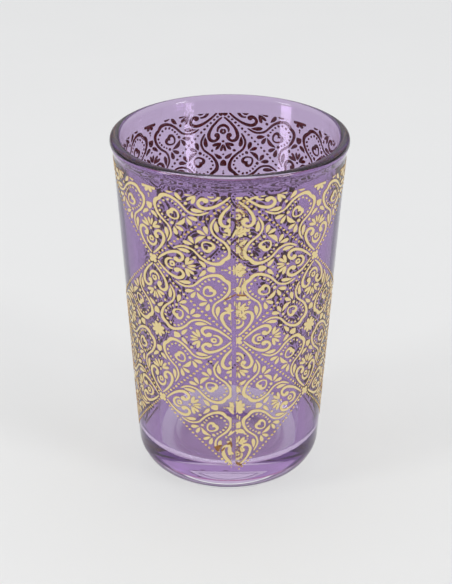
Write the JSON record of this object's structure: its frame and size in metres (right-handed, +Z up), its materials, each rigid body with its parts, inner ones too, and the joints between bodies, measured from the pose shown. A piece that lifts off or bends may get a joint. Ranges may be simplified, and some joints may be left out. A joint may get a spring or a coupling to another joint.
{
  "type": "tea glass",
  "caption": "Pressed clear tumbler with a thick base and rolled rim, a translucent purple coat on its outside and a gold arabesque print in a lattice of dotted lozenges",
  "frame": {"origin": "On the glass's axis, in the plane of the ring that it stands on", "axes": "+Z up along the glass's axis, out of its mouth; -Y is the front, where the two ends of the print meet"},
  "size_m": [0.0624, 0.0624, 0.098],
  "materials": {
    "clear_glass": "clear pressed soda glass, fire polished",
    "purple_coat": "translucent purple lacquer, glossy",
    "gold_print": "satin bright gold print with a few worn places"
  },
  "bodies": {
    "root": {"glass_body": "clear_glass", "colour_coat": "purple_coat", "gold_border_dots": "gold_print", "gold_stars": "gold_print", "gold_hearts": "gold_print", "gold_heart_bows": "gold_print", "gold_heart_rings": "gold_print", "gold_fans": "gold_print", "gold_scrolls": "gold_print", "gold_scroll_dots": "gold_print", "gold_seeds": "gold_print", "gold_sprays": "gold_print", "gold_drops": "gold_print", "gold_rosettes": "gold_print"}
  },
  "joints": []
}
